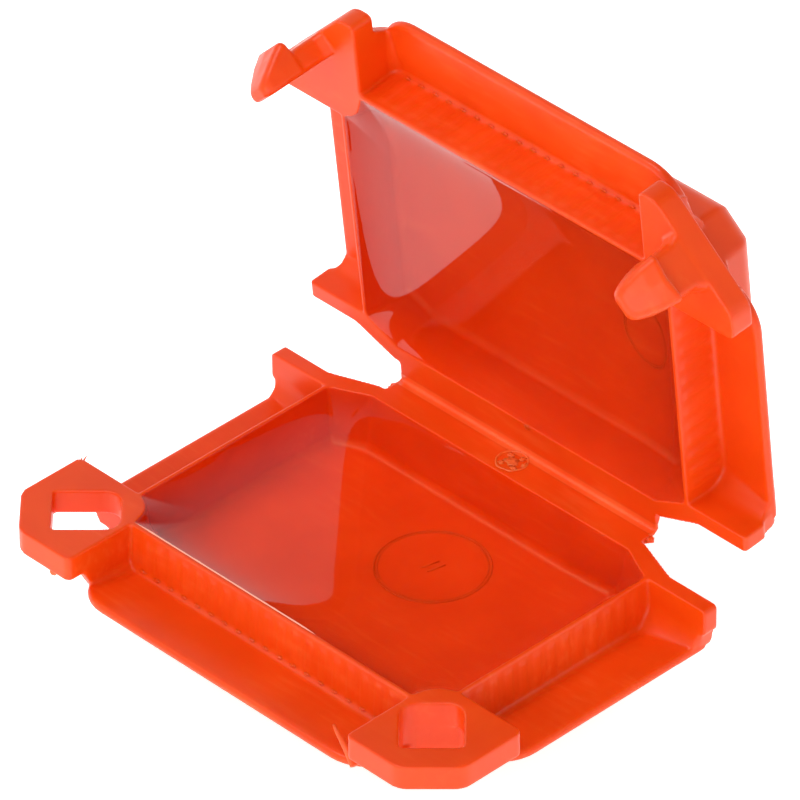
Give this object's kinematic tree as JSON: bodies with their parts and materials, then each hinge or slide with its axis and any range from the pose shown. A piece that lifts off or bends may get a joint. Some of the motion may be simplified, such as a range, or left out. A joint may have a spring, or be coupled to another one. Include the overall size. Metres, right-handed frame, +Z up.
{
  "type": "hinged gel box for cable joints",
  "caption": "Small plastic clamshell on a living hinge, each half filled with clear sealing gel, with scored cable entry walls on the free sides and snap hooks that pass through eyes.",
  "frame": {"origin": "centre of the base's bottom face, under the middle of its gel tub", "axes": "+Z up out of the base's tub, +Y towards the hinge, +X to the right seen from the front, along the hinge"},
  "size_m": [0.0644, 0.0573, 0.0579],
  "materials": {
    "moulding": "orange-red polypropylene, satin gloss, slightly translucent where it is thin",
    "gel": "clear soft gel, glossy, seen against the orange tub"
  },
  "bodies": {
    "base": {"base_shell": "moulding", "base_front_entry_wall": "moulding", "base_left_entry_wall": "moulding", "base_right_entry_wall": "moulding", "base_gel": "gel", "left_catch": "moulding", "right_catch": "moulding", "living_hinge": "moulding"},
    "lid": {"lid_shell": "moulding", "lid_front_entry_wall": "moulding", "lid_left_entry_wall": "moulding", "lid_right_entry_wall": "moulding", "lid_gel": "gel", "left_latch": "moulding", "right_latch": "moulding"}
  },
  "joints": [
    {"name": "lid_hinge", "type": "hinge", "parent": "base", "child": "lid", "pos_m": [0, 0.02015, 0.0123], "axis": [-1, 0, 0], "range_deg": [-84, 96]}
  ]
}
